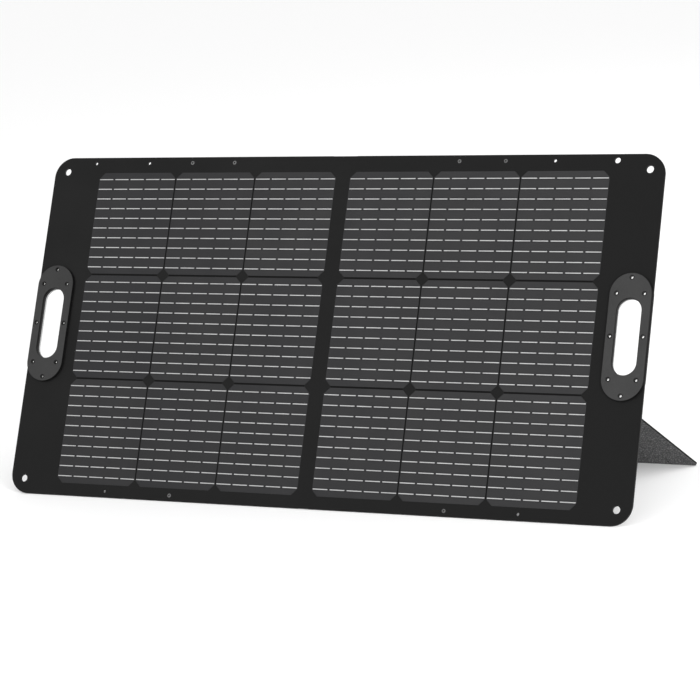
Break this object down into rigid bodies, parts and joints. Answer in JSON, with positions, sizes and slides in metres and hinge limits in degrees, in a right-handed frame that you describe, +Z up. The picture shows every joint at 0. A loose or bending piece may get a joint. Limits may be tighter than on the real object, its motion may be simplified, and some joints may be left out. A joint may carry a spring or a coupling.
{
  "type": "folding solar panel",
  "caption": "Suitcase-style folding solar panel: two rigid laminated halves on a flexible fold, a grip on each outer edge and a flap stand behind each half.",
  "frame": {"origin": "centre of the footprint of the open, standing panel, on the surface that it stands on", "axes": "+Z up, +X along the open panel to its right as seen from the cell side, +Y away from the cell side towards the flap stands"},
  "size_m": [1.125, 0.3489, 0.5353],
  "materials": {
    "front_sheet": "smooth black satin film sheet",
    "laminate": "dark encapsulant",
    "core_board": "black glass-fibre board, cut edge",
    "back_skin": "fine pebbled black backing",
    "cells": "dark grey solar cells with fine finger lines under satin film",
    "tinned_metal": "tinned ribbon",
    "grip": "matte dark grey moulded plastic",
    "eyelets": "black eyelets",
    "rivets": "dark rivets",
    "stand_core": "black board, cut edge",
    "stand_face": "pebbled dark grey skin",
    "magnet": "nickel-plated disc",
    "webbing": "woven black nylon tape",
    "box": "spark-textured black plastic",
    "seal": "black rubber",
    "screws": "black-zinc screws",
    "circuit_board": "green circuit board",
    "diodes": "black epoxy diodes",
    "terminals": "black terminal strip",
    "fold_strip": "flexible black strip",
    "jack": "black jack housing",
    "cover": "soft black rubber"
  },
  "bodies": {
    "left_half": {"left_front_sheet": "front_sheet", "left_laminate": "laminate", "left_core_board": "core_board", "left_back_skin": "back_skin", "left_cells": "cells", "left_bus_ribbons": "tinned_metal", "left_grip_front": "grip", "left_grip_back": "grip", "left_grip_eyelets": "eyelets", "left_edge_rivets": "rivets", "left_hinge_tape_panel_side": "webbing", "left_hinge_tape_bend": "webbing", "left_limit_strap": "webbing", "left_box_base": "box", "left_box_seal": "seal", "left_box_lid": "box", "left_box_screws": "screws", "left_circuit_board": "circuit_board", "left_bypass_diodes": "diodes", "left_terminal_block": "terminals", "fold_band_front": "front_sheet", "fold_band_back": "back_skin", "fold_strip": "fold_strip", "fold_jumpers": "tinned_metal"},
    "right_half": {"right_front_sheet": "front_sheet", "right_laminate": "laminate", "right_core_board": "core_board", "right_back_skin": "back_skin", "right_cells": "cells", "right_bus_ribbons": "tinned_metal", "right_grip_front": "grip", "right_grip_back": "grip", "right_grip_eyelets": "eyelets", "right_edge_rivets": "rivets", "right_hinge_tape_panel_side": "webbing", "right_hinge_tape_bend": "webbing", "right_limit_strap": "webbing", "right_box_base": "box", "right_box_seal": "seal", "right_box_lid": "box", "right_box_screws": "screws", "right_circuit_board": "circuit_board", "right_bypass_diodes": "diodes", "right_terminal_block": "terminals", "output_jack": "jack"},
    "left_stand": {"left_stand_core": "stand_core", "left_stand_inner_face": "stand_face", "left_stand_outer_face": "stand_face", "left_stand_magnet": "magnet", "left_hinge_tape_stand_side": "webbing"},
    "right_stand": {"right_stand_core": "stand_core", "right_stand_inner_face": "stand_face", "right_stand_outer_face": "stand_face", "right_stand_magnet": "magnet", "right_hinge_tape_stand_side": "webbing"},
    "port_cover": {"port_cover": "cover"}
  },
  "joints": [
    {"name": "fold_hinge", "type": "hinge", "parent": "left_half", "child": "right_half", "pos_m": [0, -0.04526, 0.27139], "axis": [0, -0.4509, -0.8926], "range_deg": [0, 180], "deforming": ["fold_band_front", "fold_band_back", "fold_strip", "fold_jumpers"]},
    {"name": "left_stand_hinge", "type": "hinge", "parent": "left_half", "child": "left_stand", "pos_m": [-0.164, 0.00501, 0.34207], "axis": [-1, 0, 0], "range_deg": [0, 52.6], "deforming": ["left_limit_strap", "left_hinge_tape_bend"]},
    {"name": "right_stand_hinge", "type": "hinge", "parent": "right_half", "child": "right_stand", "pos_m": [0.164, 0.00501, 0.34207], "axis": [-1, 0, 0], "range_deg": [0, 52.6], "deforming": ["right_limit_strap", "right_hinge_tape_bend"]},
    {"name": "port_cover_hinge", "type": "hinge", "parent": "right_half", "child": "port_cover", "pos_m": [0.31225, 0.08915, 0.49002], "axis": [0, 0.4509, 0.8926], "range_deg": [0, 110]}
  ]
}
